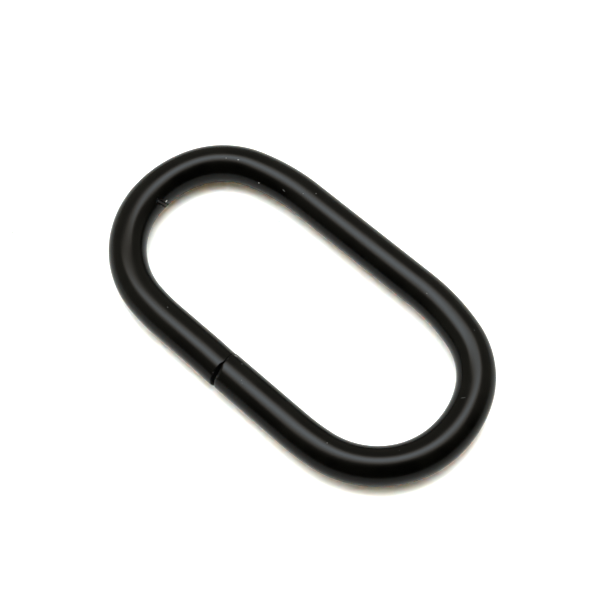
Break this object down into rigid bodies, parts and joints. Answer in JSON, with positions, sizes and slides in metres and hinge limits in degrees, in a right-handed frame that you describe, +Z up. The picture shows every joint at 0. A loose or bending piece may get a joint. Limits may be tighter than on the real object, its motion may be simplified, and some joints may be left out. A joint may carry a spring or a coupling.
{
  "type": "strap adjuster loop",
  "caption": "Oblong strap loop bent from round black-coated wire, with an open butt joint in a long side, for webbing to be sewn round or threaded through.",
  "frame": {"origin": "on the surface that the loop lies on, under the middle of the loop", "axes": "+X along the loop's length, +Z up out of the surface, and the side with the joint faces -Y"},
  "size_m": [0.0462, 0.0248, 0.0041],
  "materials": {
    "satin_black_coat": "smooth satin black coating"
  },
  "bodies": {
    "root": {"wire_loop": "satin_black_coat"}
  },
  "joints": []
}
